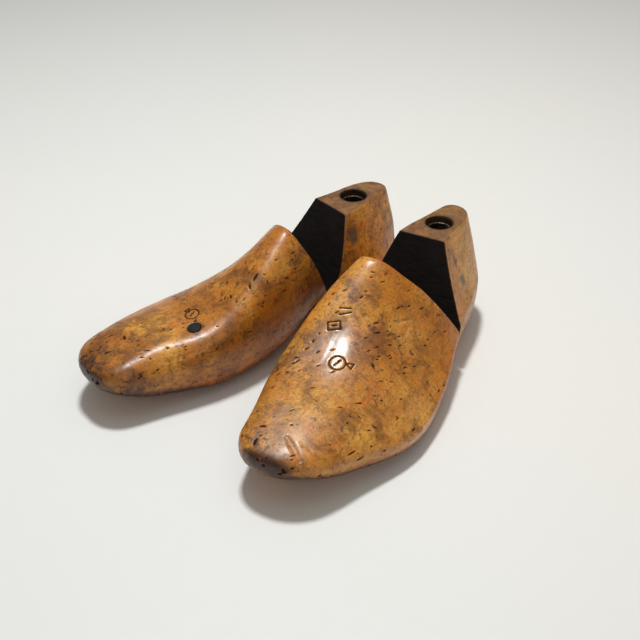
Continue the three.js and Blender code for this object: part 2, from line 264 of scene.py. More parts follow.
def carved(obj, cuts, voxel=None, bevel=None):
    """obj's points and faces after each (operation, cutter), then an even remesh or a bevel. Uses them up."""
    for operation, cutter in cuts:
        modifier = obj.modifiers.new("cut", "BOOLEAN")
        modifier.operation, modifier.object, modifier.solver = operation, cutter, "EXACT"
    if voxel:
        modifier = obj.modifiers.new("even", "REMESH")
        modifier.mode, modifier.voxel_size = "VOXEL", voxel
    if bevel:
        modifier = obj.modifiers.new("worn_edges", "BEVEL")
        modifier.width, modifier.segments, modifier.limit_method = bevel, 3, "ANGLE"
        modifier.angle_limit = math.radians(50)
    mesh = obj.evaluated_get(bpy.context.evaluated_depsgraph_get()).to_mesh()
    points = np.empty(len(mesh.vertices) * 3)
    mesh.vertices.foreach_get("co", points)
    faces = [tuple(p.vertices) for p in mesh.polygons]
    remove(obj, *[cutter for _, cutter in cuts])
    return points.reshape(-1, 3), faces


class Surface:
    """An even quad mesh held as arrays, for smoothing, denting and painting by place."""

    def __init__(self, points, faces):
        self.points = points
        self.quads = np.array(faces)
        ends = np.vstack([self.quads[:, [i, (i + 1) % 4]] for i in range(4)])
        ends = np.unique(np.sort(ends, 1), axis=0)
        self.start = np.concatenate([ends[:, 0], ends[:, 1]])
        self.end = np.concatenate([ends[:, 1], ends[:, 0]])
        self.valence = np.bincount(self.start, minlength=len(points))

    def mean_of_neighbours(self, values):
        total = [np.bincount(self.start, values[self.end, k], len(values)) for k in range(values.shape[1])]
        return np.stack(total, 1) / self.valence[:, None]

    def smooth(self, rounds, amount=1.0):
        """Laplacian smoothing. amount is one number or one for each point."""
        weight = 0.5 * np.broadcast_to(amount, len(self.points))[:, None]
        for _ in range(rounds):
            self.points = self.points + weight * (self.mean_of_neighbours(self.points) - self.points)

    def normals(self):
        a, b, c, d = (self.points[self.quads[:, i]] for i in range(4))
        face = np.cross(c - a, d - b)
        corners = self.quads.T.reshape(-1)
        face = np.tile(face, (4, 1))
        total = np.stack([np.bincount(corners, face[:, k], len(self.points)) for k in range(3)], 1)
        return total / np.maximum(np.linalg.norm(total, axis=1), 1e-12)[:, None]

    def curvature(self):
        """Above 0 on a convex edge and below 0 in a hollow, in millimetres."""
        gap = self.points - self.mean_of_neighbours(self.points)
        bend = (gap * self.normals()).sum(1)[:, None]
        for _ in range(2):
            bend = 0.5 * bend + 0.5 * self.mean_of_neighbours(bend)
        return bend[:, 0]


def waves(points, wavelength, rng, count=24):
    """Smooth random unevenness of about unit height, as a sum of plane waves."""
    total = np.zeros(len(points))
    for _ in range(count):
        direction = rng.normal(size=3)
        direction *= 2 * math.pi / (wavelength * rng.uniform(0.7, 1.6) * np.linalg.norm(direction))
        total += np.sin(points @ direction + rng.uniform(0, 2 * math.pi))
    return total / math.sqrt(count / 2)


# ---- marks of use ----

# Dents and cuts listed one by one: place, direction in the last's plan in degrees from +x, length, width,
# depth.
CUTS = {
    "left": [
        ((5, -132, 49), 50, 6.5, 1.2, 0.5),
        ((3, -128, 53), 58, 4.5, 0.9, 0.4),
        ((9, -140, 46), 50, 5, 0.7, 0.35),
        ((6, -145, 45), 60, 4.5, 0.7, 0.35),
        ((14, -133, 45), 48, 5.5, 0.8, 0.35),
        ((10, -128, 50), 56, 4, 0.7, 0.3),
        ((12, -146, 42), 52, 4, 0.7, 0.35),
        ((12, -151, 40), -35, 6, 1.3, 0.6),
        ((12, -151, 40), 40, 4, 1, 0.45),
        ((17, -139, 40), 58, 4, 0.8, 0.35),
        ((2, -140, 50), 55, 4, 0.8, 0.35),
        ((25, -206, 24), 70, 10, 0.9, 0.5),
        ((-8.8, -109.6, 74.5), 15, 4, 0.9, 0.5),
        ((-9, -112, 72), 20, 3, 0.7, 0.35),
        ((29.6, -202.7, 21), 85, 8, 0.9, 0.6),
        ((29, -184, 27), 15, 6, 0.9, 0.4),
        ((25, -166, 31), 30, 2.5, 1.4, 0.45),
        ((21, -186, 32), 10, 4, 1, 0.35),
        ((17, -190, 33), 20, 3, 0.9, 0.3),
        ((-17, -221, 37), 20, 5, 2, 0.35),
        ((-16, -232, 36), 95, 7, 1.6, 0.4),
        ((-25, -161, 49), 60, 5, 1, 0.4),
        ((-24, -156, 51), 75, 4, 0.9, 0.4),
        ((-26.6, -170, 46), 70, 7, 0.9, 0.35),
        ((-8, -120, 68), 30, 4, 0.8, 0.3),
        ((30, -108, 40), 40, 4, 0.8, 0.3),
    ],
    "right": [
        ((-37.8, -148.6, 35.7), 80, 5.5, 0.9, 0.45),
        ((-32, -207.6, 30), 60, 4.5, 0.8, 0.45),
        ((-27.5, -208.8, 36), 30, 2, 1.4, 0.5),
        ((-28, -197, 38), 10, 2.4, 1.5, 0.5),
        ((-28.7, -138, 57), 35, 6, 1.6, 0.5),
        ((-26.8, -133, 61), 70, 7, 2, 0.55),
        ((-22.9, -150, 55), 20, 5, 1.5, 0.45),
        ((-20, -153, 54), 60, 4, 1.2, 0.35),
        ((-30, -128, 57), 10, 4, 1, 0.35),
        ((-3, -211, 39), 20, 5, 2.4, 0.3),
        ((-38, -171, 33), 30, 3, 0.9, 0.3),
        ((-34, -118, 50), 60, 5, 1.2, 0.3),
        ((-12, -190, 44), 15, 6, 0.8, 0.25),
    ],
}
# Inspector's punch marks: place, kind, size. They are plain figures and stand for nothing.
PUNCHES = {
    "left": [
        ((-4, -162.8, 46), "ring", 4.6),
        ((3, -160, 43.7), "triangle", 2.2),
        ((-16.5, -145, 58), "frame", 3.6),
        ((-13.5, -135, 62.5), "bars", 3.8),
    ],
    "right": [((-12.7, -171, 46.3), "ring", 4.2), ((-7, -171, 47), "triangle", 1.8)],
}
# Where handling has left the wood dirty: place, reach, amount.
DIRT = {
    "left": [
        ((-17, -232, 34), 16, 0.9),
        ((-6, -240, 27), 14, 1.1),
        ((-27, -172, 44), 20, 1.0),
        ((-20, -155, 55), 16, 0.5),
        ((-12, -125, 66), 18, 0.7),
        ((23, -138, 34), 16, 0.75),
        ((8, -138, 46), 20, 0.75),
        ((22, -168, 32), 14, 0.5),
        ((20, -190, 30), 14, 0.5),
        ((0, -200, 36), 18, 0.3),
        ((30, -100, 40), 22, 0.35),
    ],
    "right": [
        ((-7, -238, 31), 24, 1.25),
        ((12, -222, 26), 22, 1.0),
        ((-30, -222, 24), 16, 0.9),
        ((-3, -211, 39), 14, 0.75),
        ((-26, -136, 60), 16, 0.75),
        ((-22, -150, 55), 14, 0.7),
        ((-31, -92, 42), 22, 0.9),
        ((-28, -105, 60), 18, 0.5),
        ((-26, -172, 40), 12, 0.6),
        ((-33, -200, 20), 26, 0.5),
        ((-10, -180, 46), 20, 0.3),
    ],
}
BASE_DIRT = {"left": 0.08, "right": 0.38}
# Where the varnish is worn to a lighter tone. The left last's spots low on the forepart's outer side and the
# one on the heel block's outer side are painted light instead: a painted sheen.
PALE_WEAR_AND_PAINTED_LIGHT = {
    "left": [
        ((-6, -195, 40), 22, 0.8),
        ((8, -178, 39), 20, 0.6),
        ((18, -118, 44), 16, 0.8),
        ((-2, -215, 36), 20, 0.8),
        ((12, -205, 32), 18, 0.6),
        ((28, -190, 20), 24, 0.7),
        ((38, -150, 18), 28, 0.6),
        ((20, -30, 40), 34, 0.75),
    ],
    "right": [((-8, -190, 44), 20, 0.6), ((-30, -112, 58), 14, 0.5)],
}
# Where the varnish is best kept, and shines.
POLISH = {
    "left": [((-7, -156, 48), 20, 1.0), ((-10, -112, 75), 16, 0.6), ((40, -165, 15), 26, 0.8)],
    "right": [((-32, -166, 44), 14, 0.6), ((-18, -226, 36), 10, 0.5), ((-5, -95, 80), 14, 0.6)],
}
# The varnish is redder low down: not at all at the first height, and fully at the second.
RED_BAND = (24, 4)
# Grey stains and dark dots on the heel blocks: place, half length, half height.
STAINS = {
    "left": [
        ((18, -49, 57), 1.8, 5.5),
        ((23, -46, 44), 3.0, 3.2),
        ((15, -53, 67), 0.9, 0.9),
        ((16, -49, 66), 0.8, 0.8),
        ((12, -49, 73), 2.6, 1.2),
    ],
    "right": [((5, -28, 73), 3.4, 2.6), ((-5, -16, 73), 1.8, 1.0), ((-21, -52, 59), 4.2, 5.0)],
}
# Long shallow grooves that have kept their varnish: place, direction, length, width, depth.
GROOVES = {
    "left": [
        ((4, -227, 34), 144, 18, 4.4, 0.6),
        ((9, -222, 33), 168, 9, 2.8, 0.3),
        ((12, -114, 49), 48, 11, 2.6, 0.7),
        ((16, -118, 44), 110, 12, 2.4, 0.6),
    ],
    "right": [((-20, -128, 60), 75, 22, 5, 0.4), ((-32, -190, 32), 95, 24, 4, 0.35)],
}
RANDOM_DENTS, SIDE_DENTS, TACK_HOLES = 85, 30, 46
DENT_TURN = {"left": 54, "right": 104}
# How dark a groove, a dent of the upper and a dent of the sides are filled, from 0 to 1.
GROOVE_DARK, DENT_DARK, SIDE_DENT_DARK = 0.12, 0.9, 0.6
PUNCH_WIDTH, PUNCH_DEPTH, PUNCH_TURN = 0.8, 0.4, 30
# Rounds of smoothing: all over, at the peak and at the toe. Then where the last two fade in.
EVEN_ROUNDS, PEAK_ROUNDS, TOE_ROUNDS = 5, 150, 60
PEAK_FADE, TOE_FADE = (58, 74), (-222, -236)
# Unevenness of hand work: height and wavelength of each size of wave, and how far it is all sunk.
UNEVEN = ((0.16, 42), (0.05, 17), (0.006, 5))
UNEVEN_DROP = 0.28
# How bent the surface is where an edge starts to look rubbed, and where it looks most rubbed.
EDGE_BEND = (0.02, 0.09)


def spots(points, table):
    total = np.zeros(len(points))
    for place, reach, amount in table:
        total = np.maximum(total, amount * np.exp(-((points - place) ** 2).sum(1) / reach**2))
    return total


def stains(points, table):
    total = np.zeros(len(points))
    for (x, y, z), long, high in table:
        sideways = np.hypot(points[:, 0] - x, points[:, 1] - y) / long
        away = np.maximum(sideways, np.abs(points[:, 2] - z) / high)
        total = np.maximum(total, smoothstep(1.4, 0.6, away))
    return total


class Marks:
    """Presses marks into a surface and remembers how deep it is scarred, from 0 to 1."""

    def __init__(self, surface, side):
        self.places = surface.points * [side, 1, 1]
        self.normals = surface.normals()
        self.plan_normals = self.normals * [side, 1, 1]
        self.depth = np.zeros(len(self.places))
        self.scar = np.zeros(len(self.places))

    def plane(self, at, turn):
        """Distances along, across and above the skin at the point nearest at. turn is degrees from +x."""
        i = ((self.places - at) ** 2).sum(1).argmin()
        normal = self.plan_normals[i]
        along = np.array([math.cos(math.radians(turn)), math.sin(math.radians(turn)), 0])
        along -= normal * (along @ normal)
        along /= np.linalg.norm(along)
        offset = self.places - self.places[i]
        return offset @ along, offset @ np.cross(normal, along), offset @ normal

    def press(self, shape, above, depth, dark=1.0):
        shape = shape * smoothstep(5, 3, np.abs(above))
        self.depth = np.maximum(self.depth, shape * depth)
        self.scar = np.maximum(self.scar, shape * dark)

    def cut(self, at, turn, length, width, depth, dark=1.0):
        along, across, above = self.plane(at, turn)
        taper = np.clip(1 - (2 * along / length) ** 2, 0, 1)
        shape = smoothstep(0.6 * width + 0.35, 0, np.abs(across) + (1 - taper)) * (taper > 0)
        self.press(shape, above, depth, dark)

    def line(self, plane, start, end, width, depth):
        """A straight punched stroke between two points of a plane."""
        along, across, above = plane
        start, end = np.array(start, float), np.array(end, float)
        step = end - start
        share = np.clip(((along - start[0]) * step[0] + (across - start[1]) * step[1]) / (step @ step), 0, 1)
        away = np.hypot(along - start[0] - share * step[0], across - start[1] - share * step[1])
        self.press(smoothstep(width, 0, away), above, depth)

    def punch(self, at, kind, size):
        width, depth = PUNCH_WIDTH, PUNCH_DEPTH
        plane = self.plane(at, PUNCH_TURN)
        if kind == "ring":
            away = np.abs(np.hypot(plane[0], plane[1]) - size)
            self.press(smoothstep(width, 0, away), plane[2], depth)
            self.line(plane, (-size * 0.4, -size * 0.3), (size * 0.45, size * 0.35), width, depth * 0.7)
        elif kind == "triangle":
            corners = [(0, -size), (size, size * 0.6), (-size, size * 0.6)]
            for i in range(3):
                self.line(plane, corners[i], corners[(i + 1) % 3], width, depth)
        elif kind == "frame":
            corners = [(-size, -size * 0.7), (size, -size * 0.7), (size, size * 0.7), (-size, size * 0.7)]
            for i in range(4):
                self.line(plane, corners[i], corners[(i + 1) % 4], width, depth)
            self.line(plane, (-size * 0.4, 0), (size * 0.4, 0), width, depth)
        else:
            for offset in (-0.55, 0.55):
                self.line(plane, (-size, offset * size), (size * 0.8, offset * size * 0.6), width, depth)


# ---- the two wooden pieces ----


def fore_profile():
    front = -KERF_AT - KERF_WIDTH / 2
    peak = (front - (APEX_HEIGHT - NOTCH_HEIGHT) * math.tan(NOTCH_FRONT_LEAN), APEX_HEIGHT)
    centre = (
        peak[0] - APEX_RADIUS * math.cos(NOTCH_FRONT_LEAN),
        peak[1] - APEX_RADIUS * math.sin(NOTCH_FRONT_LEAN),
    )
    crown = arc(centre, APEX_RADIUS, NOTCH_FRONT_LEAN, APEX_SWEEP, 24)
    ahead = -2 * FAR
    return [(ahead, -FAR), (front, -FAR), (front, NOTCH_HEIGHT), *crown, (crown[-1][0], FAR), (ahead, FAR)]


def heel_profile():
    rear = -KERF_AT + KERF_WIDTH / 2
    lip = rear + (TOP_HEIGHT - NOTCH_HEIGHT) * math.tan(NOTCH_REAR_LEAN)
    return [(rear, -FAR), (FAR, -FAR), (FAR, TOP_HEIGHT), (lip, TOP_HEIGHT), (rear, NOTCH_HEIGHT)]


def slot_cutter(pin_at, ahead):
    reach = LINK_HALF_HEIGHT + SLOT_CLEARANCE
    lip = (-math.sin(LINK_SWING) * reach, math.cos(LINK_SWING) * reach)
    length = 2 * PIN_OFFSET
    outline = [(0, -reach), (length, -reach), (length, lip[1] + (length - lip[0]) * math.tan(LINK_SWING))]
    outline += arc((0, 0), reach, math.pi / 2 + LINK_SWING, 1.5 * math.pi, 16)[:-1]
    outline = [(pin_at + ahead * y, PIN_HEIGHT + z) for y, z in outline]
    half = LINK_THICKNESS / 2 + SLOT_CLEARANCE
    return prism(outline, -half, half)


def pin_hole(pin_at):
    outline = arc((pin_at, PIN_HEIGHT), PIN_RADIUS + GAP, 0, 2 * math.pi, 40)[:-1]
    return prism(outline, -FAR, PIN_END + GAP)


def peg_matrix():
    direction = Vector(PEG_DIRECTION * [-1, 1, 1])
    place = Vector(PEG_PLACE * [-1, 1, 1])
    return Matrix.Translation(place) @ direction.to_track_quat("Z", "Y").to_matrix().to_4x4()


def notch_distance(points, piece):
    """Distance behind the sawn face, and the way that face looks, for each point."""
    y, z = points[:, 1], points[:, 2]
    above = z > NOTCH_HEIGHT
    if piece == "forepart":
        lean = NOTCH_FRONT_LEAN
        face = -KERF_AT - KERF_WIDTH / 2 - np.maximum(0, z - NOTCH_HEIGHT) * math.tan(lean)
        away, looks = face - y, 1
    else:
        lean = NOTCH_REAR_LEAN
        face = -KERF_AT + KERF_WIDTH / 2 + np.maximum(0, z - NOTCH_HEIGHT) * math.tan(lean)
        away, looks = y - face, -1
    tilt = np.where(above, lean, 0)
    facing = np.stack([np.zeros(len(y)), looks * np.cos(tilt), np.sin(tilt)], 1)
    return away * np.cos(tilt), facing


def wood_piece(name, side, piece):
    """A finished forepart or heel block: cut, worn, marked and painted with what its material reads."""
    rng = np.random.default_rng(SEED + len(name) + 10 * (piece == "forepart"))
    cuts = []
    if piece == "forepart":
        cuts = [
            ("INTERSECT", prism(fore_profile(), -FAR, FAR)),
            ("DIFFERENCE", slot_cutter(FRONT_PIN_AT, 1)),
            ("DIFFERENCE", pin_hole(FRONT_PIN_AT)),
        ]
        if side < 0:
            radius = PEG_RADIUS + PEG_CLEARANCE
            hole = turned("cutter", [(radius, -PEG_LENGTH - GAP), (radius, PEG_LENGTH)], 48)
            hole.data.transform(peg_matrix())
            cuts.append(("DIFFERENCE", hole))
    else:
        bore = turned("cutter", [(HOLE_RADIUS, TOP_HEIGHT - HOLE_DEPTH), (HOLE_RADIUS, FAR)], 64)
        bore.data.transform(Matrix.Translation((0, -HOLE_AT, 0)))
        cuts = [
            ("INTERSECT", prism(heel_profile(), -FAR, FAR)),
            ("DIFFERENCE", bore),
            ("DIFFERENCE", slot_cutter(REAR_PIN_AT, -1)),
            ("DIFFERENCE", pin_hole(REAR_PIN_AT)),
        ]
    surface = Surface(*carved(whole_last(side), cuts, voxel=VOXEL))
    surface.smooth(EVEN_ROUNDS)
    away, facing = notch_distance(surface.points, piece)
    if piece == "forepart":
        # the peak is worn round in both directions
        surface.smooth(PEAK_ROUNDS, smoothstep(*PEAK_FADE, surface.points[:, 2]))
        surface.smooth(TOE_ROUNDS, smoothstep(*TOE_FADE, surface.points[:, 1]))
        x, y, z = (surface.points * [side, 1, 1]).T
        distance = np.hypot(x - INSTEP_HOLLOW_AT[0], y - INSTEP_HOLLOW_AT[1])
        hollow = np.exp(-((distance / INSTEP_HOLLOW_REACH) ** 2)) * smoothstep(*INSTEP_HOLLOW_FADE, z)
        surface.points[:, 2] -= INSTEP_HOLLOW_DEPTH * hollow
    places = surface.points * [side, 1, 1]
    skin = smoothstep(0.8, 2.5, away)
    uneven = sum(height * waves(places, wavelength, rng) for height, wavelength in UNEVEN)
    uneven = np.minimum(uneven - UNEVEN_DROP, 0) * skin
    surface.points = surface.points + surface.normals() * uneven[:, None]

    marks = Marks(surface, side)
    places, normals = marks.places, marks.plan_normals
    if piece == "forepart":
        for at, turn, length, width, depth in CUTS[name]:
            marks.cut(np.array(at, float), turn, length, width, depth)
        for at, turn, length, width, depth in GROOVES[name]:
            marks.cut(np.array(at, float), turn, length, width, depth, GROOVE_DARK)
        for at, kind, size in PUNCHES[name]:
            marks.punch(np.array(at, float), kind, size)
        upper = np.where((skin > 0.9) & (normals[:, 2] > 0.2))[0]
        chance = 0.15 + spots(places[upper], DIRT[name])
        for i in rng.choice(upper, RANDOM_DENTS, False, chance / chance.sum()):
            turn = rng.normal(DENT_TURN[name], 24)
            length, width = rng.uniform(1.8, 6), rng.uniform(0.7, 1.2)
            marks.cut(places[i], turn, length, width, rng.uniform(0.12, 0.32), DENT_DARK)
    sides = np.where((skin > 0.9) & (np.abs(normals[:, 2]) < 0.6))[0]
    for i in rng.choice(sides, SIDE_DENTS, False):
        turn, length, width = rng.uniform(0, 180), rng.uniform(1.5, 6), rng.uniform(0.6, 0.9)
        marks.cut(places[i], turn, length, width, rng.uniform(0.1, 0.25), SIDE_DENT_DARK)
    tack_holes(marks, places, normals, piece, rng)
    surface.points = surface.points - marks.normals * (marks.depth * skin)[:, None]

    nothing = np.zeros(len(places))
    heel = piece == "heel_block"
    painted = {"scar": marks.scar}
    painted["grime"] = np.maximum(spots(places, DIRT[name]), BASE_DIRT[name])
    # pale worn patches, and painted light low on the left last's outer side and on its heel block's side
    painted["pale_wear_and_painted_light"] = spots(places, PALE_WEAR_AND_PAINTED_LIGHT[name])
    painted["polish"] = spots(places, POLISH[name])
    painted["red"] = smoothstep(*RED_BAND, places[:, 2]) * skin
    painted["stain"] = stains(places, STAINS[name]) if heel else nothing
    painted["edge"] = smoothstep(*EDGE_BEND, surface.curvature())
    sawn = smoothstep(1.0, 0.45, away) * smoothstep(0.35, 0.75, (marks.normals * facing).sum(1))
    # painted shade: the walls of the slot and of the bore take the sawn faces' near-black
    painted["sawn"] = np.maximum(sawn, painted_shade_inside(surface.points, piece))
    near_top = smoothstep(TOP_HEIGHT - 1.2, TOP_HEIGHT - 0.5, places[:, 2])
    painted["top"] = near_top * smoothstep(0.5, 0.9, normals[:, 2]) if heel else nothing
    painted["rim"] = rim(places, normals)
    painted["hole"] = smoothstep(14, 7.5, np.hypot(places[:, 0], places[:, 1] + HOLE_AT)) * painted["top"]
    return surface, painted


def painted_shade_inside(points, piece):
    """Painted shade on the inner walls, coloured like the sawn faces: 1 in the slot, and fading in to 0.9 in
    a heel block's bore.
    """
    x, y, z = points.T
    half = LINK_THICKNESS / 2 + SLOT_CLEARANCE
    pin = FRONT_PIN_AT if piece == "forepart" else REAR_PIN_AT
    slot = (np.abs(x) < half + 0.25) & (np.abs(y - pin) < PIN_OFFSET + 8) & (z > 16) & (z < 40)
    bore = smoothstep(1.6, 0.7, np.hypot(x, y + HOLE_AT) - HOLE_RADIUS) * smoothstep(20, 21, z)
    if piece == "forepart":
        bore = 0 * x
    return np.maximum(slot, 0.9 * bore)


def rim(places, normals):
    """1 along the feather edge round the toe, where uppers were tacked down, fading behind the ball."""
    t = np.arccos(np.clip(1 + 2 * places[:, 1] / LAST_LENGTH, -1, 1)) / math.pi
    numbers = guide(t)
    inner, outer = numbers[:, 1:3], numbers[:, 3:5]
    near_inner = np.hypot(places[:, 0] - inner[:, 0], places[:, 2] - inner[:, 1])
    near_outer = np.hypot(places[:, 0] - outer[:, 0], places[:, 2] - outer[:, 1])
    near = np.minimum(near_inner, near_outer)
    tip = -LAST_LENGTH - places[:, 1]
    near = np.minimum(near, np.hypot(tip, np.minimum(0, places[:, 2] - 27)) + 1.0)
    return smoothstep(8, 1.5, near) * smoothstep(-95, -190, places[:, 1])


def tack_holes(marks, places, normals, piece, rng):
    """Small holes left by lasting tacks, thickest round the toe."""
    band = rim(places, normals) if piece == "forepart" else np.zeros(len(places))
    near = np.where((band > 0.5) & (normals[:, 2] < 0.5))[0]
    if len(near) == 0:
        return
    for i in rng.choice(near, TACK_HOLES, False):
        along, across, above = marks.plane(places[i], rng.uniform(0, 180))
        radius = rng.uniform(0.7, 1.3)
        away = np.hypot(along / rng.uniform(1, 1.8), across)
        marks.press(smoothstep(radius, 0.2, away), above, rng.uniform(0.3, 0.7))


# ---- materials ----


def srgb(red, green, blue):
    """A colour given as it shows on a screen, as the linear colour that a shader takes."""
    parts = [v / 255 for v in (red, green, blue)]
    return tuple(v / 12.92 if v <= 0.04045 else ((v + 0.055) / 1.055) ** 2.4 for v in parts) + (1.0,)


class Nodes:
    """Builds a material's nodes. Each method adds one and gives its output socket."""

    def __init__(self, name):
        self.material = bpy.data.materials.new(name)
        self.material.use_nodes = True
        self.tree = self.material.node_tree
        self.shader = next(n for n in self.tree.nodes if n.type == "BSDF_PRINCIPLED")

    def feed(self, socket, value):
        if isinstance(value, bpy.types.NodeSocket):
            self.tree.links.new(value, socket)
        else:
            socket.default_value = value

    def add(self, kind, inputs, output=0, **settings):
        node = self.tree.nodes.new(kind)
        for key, value in settings.items():
            setattr(node, key, value)
        for key, value in inputs.items():
            self.feed(node.inputs[key], value)
        return node.outputs[output]

    def attribute(self, name, output="Fac"):
        return self.add("ShaderNodeAttribute", {}, output, attribute_name=name)

    def mapped(self, vector, scale=(1, 1, 1), turn=0.0, shift=(0, 0, 0)):
        inputs = {"Vector": vector, "Scale": scale, "Rotation": (0, 0, turn), "Location": shift}
        return self.add("ShaderNodeMapping", inputs)

    def noise(self, vector, scale, detail=3, roughness=0.5, distortion=0.0):
        inputs = {"Vector": vector, "Scale": scale, "Detail": detail}
        inputs |= {"Roughness": roughness, "Distortion": distortion}
        return self.add("ShaderNodeTexNoise", inputs)

    def cells(self, vector, scale, output="Distance"):
        return self.add("ShaderNodeTexVoronoi", {"Vector": vector, "Scale": scale}, output)

    def math(self, operation, a, b=0.0, c=0.0):
        return self.add("ShaderNodeMath", {0: a, 1: b, 2: c}, operation=operation)

    def plus(self, a, b):
        return self.math("ADD", a, b)

    def minus(self, a, b):
        return self.math("SUBTRACT", a, b)

    def times(self, a, b):
        return self.math("MULTIPLY", a, b)

    def most(self, a, b):
        return self.math("MAXIMUM", a, b)

    def ramp(self, value, low, high, start=0.0, end=1.0):
        """A smooth step in value from low to high, giving start to end. low may be above high."""
        if low > high:
            low, high, start, end = high, low, end, start
        inputs = {"Value": value, "From Min": low, "From Max": high, "To Min": start, "To Max": end}
        return self.add("ShaderNodeMapRange", inputs, interpolation_type="SMOOTHSTEP")

    def mix(self, share, a, b, blend="MIX"):
        return self.add("ShaderNodeMix", {0: share, 6: a, 7: b}, 2, data_type="RGBA", blend_type=blend)

    def bump(self, height, strength, distance, normal=None):
        inputs = {"Height": height, "Strength": strength, "Distance": distance}
        if normal is not None:
            inputs["Normal"] = normal
        return self.add("ShaderNodeBump", inputs)

    def finish(self, **inputs):
        for key, value in inputs.items():
            self.feed(self.shader.inputs[key.replace("_", " ").title().replace("Ior", "IOR")], value)
        return self.material


def wood_material():
    """Old wood under amber varnish, with grain, blotches, dirt, black dents and bare sawn faces, painted
    shade on the walls of the slot and the bore, and painted light among the pale worn patches.
    """
    n = Nodes("varnished_wood")
    place = n.attribute("place", "Vector")
    grain_place = n.mapped(place, (1, 0.045, 1))
    grain = n.noise(grain_place, 1.1, 5, 0.6, 0.3)
    broad_grain = n.noise(grain_place, 0.3, 3, 0.5, 0.8)
    patches = n.noise(place, 0.022, 3, 0.55)
    blotches = n.noise(place, 0.07, 7, 0.72, 0.5)
    mottle = n.noise(place, 0.22, 6, 0.68, 0.4)
    dirt_noise = n.noise(place, 0.55, 6, 0.74, 0.4)

    honey, amber, orange = srgb(214, 150, 54), srgb(184, 114, 28), srgb(190, 92, 22)
    brown, deep, black = srgb(104, 60, 24), srgb(48, 28, 14), srgb(18, 11, 8)
    grime = n.attribute("grime")
    red = n.attribute("red")
    colour = n.mix(n.ramp(patches, 0.4, 0.6), honey, amber)
    colour = n.mix(n.ramp(n.plus(broad_grain, n.times(red, 0.2)), 0.5, 0.75, 0, 0.7), colour, orange)
    colour = n.mix(n.times(red, n.ramp(mottle, 0.35, 0.65, 0.6, 0.1)), colour, srgb(198, 92, 30))
    colour = n.mix(n.ramp(grain, 0.42, 0.72, 0, 0.4), colour, brown)
    # pale worn varnish, with painted light low on the left last's outer side and on its heel block's side
    pale_wear_and_painted_light = n.times(n.attribute("pale_wear_and_painted_light"), n.ramp(mottle, 0.35, 0.6))
    colour = n.mix(n.times(pale_wear_and_painted_light, 0.6), colour, srgb(224, 178, 98))
    blotch = n.ramp(n.plus(blotches, n.times(grime, 0.15)), 0.46, 0.72, 0, 0.8)
    colour = n.mix(blotch, colour, brown)
    stipple = n.times(n.ramp(dirt_noise, 0.48, 0.62), n.ramp(mottle, 0.35, 0.62, 0.25, 1))
    colour = n.mix(n.times(stipple, 0.6), colour, srgb(96, 50, 18))
    smear = n.ramp(n.plus(mottle, n.times(grime, 0.12)), 0.59, 0.72, 0, 0.7)
    colour = n.mix(smear, colour, deep)

    # dark flecks and short dashes, mostly where it is dirty
    wobble = n.noise(place, 0.12, 2)
    cluster = n.plus(n.times(grime, 0.3), n.ramp(blotches, 0.4, 0.7, 0, 0.16))
    fleck = n.cells(place, 0.5)
    fleck_pick = n.cells(place, 0.5, "Color")
    wanted = n.ramp(n.plus(fleck_pick, cluster), 0.78, 0.86)
    fleck = n.times(n.ramp(n.plus(fleck, n.times(dirt_noise, 0.3)), 0.4, 0.28), wanted)
    turn = math.radians(-32)
    dash_place = n.mapped(place, (0.2, 0.7, 0.6), turn)
    dash = n.cells(dash_place, 1.0)
    dash_pick = n.cells(dash_place, 1.0, "Color")
    wanted = n.ramp(n.plus(dash_pick, cluster), 0.84, 0.9)
    dash = n.times(n.ramp(n.plus(dash, n.times(wobble, 0.2)), 0.34, 0.22), wanted)
    flecks = n.times(n.most(fleck, dash), 0.8)
    colour = n.mix(flecks, colour, deep)

    rim = n.attribute("rim")
    rim_dark = n.times(rim, n.ramp(n.plus(mottle, n.times(rim, 0.14)), 0.4, 0.6))
    colour = n.mix(n.times(rim_dark, 0.95), colour, srgb(52, 27, 13))
    edge = n.times(n.attribute("edge"), n.ramp(mottle, 0.35, 0.6, 0.2, 1))
    colour = n.mix(n.times(edge, 0.45), colour, srgb(206, 146, 92))
    scar = n.attribute("scar")
    colour = n.mix(n.ramp(scar, 0.15, 0.75, 0, 0.92), colour, black)
    stain = n.times(n.attribute("stain"), n.ramp(dirt_noise, 0.3, 0.55, 0.35, 0.9))
    colour = n.mix(stain, colour, srgb(66, 56, 50))

    # the flat top, scrubbed and stained blue-grey by the iron thimble
    top = n.attribute("top")
    top_tone = n.mix(n.ramp(mottle, 0.3, 0.7), srgb(138, 102, 70), srgb(92, 68, 50))
    top_tone = n.mix(n.ramp(grain, 0.4, 0.7, 0, 0.5), top_tone, srgb(78, 56, 42))
    ring_stain = n.times(n.attribute("hole"), n.ramp(mottle, 0.3, 0.6, 0.45, 1))
    top_tone = n.mix(ring_stain, top_tone, srgb(56, 52, 50))
    colour = n.mix(n.times(top, 0.85), colour, top_tone)

    # the sawn faces, nearly black, with the marks of the saw, and the same near-black as painted shade on the
    # walls of the slot and the bore
    sawn = n.attribute("sawn")
    saw_place = n.mapped(place, (0.05, 0.3, 1.15))
    saw_lines = n.noise(saw_place, 1.6, 4, 0.6)
    sawn_tone = n.mix(n.ramp(saw_lines, 0.35, 0.7), srgb(13, 10, 10), srgb(30, 24, 22))
    sawn_tone = n.mix(n.ramp(blotches, 0.5, 0.75, 0, 0.5), sawn_tone, srgb(42, 30, 23))
    colour = n.mix(sawn, colour, sawn_tone)

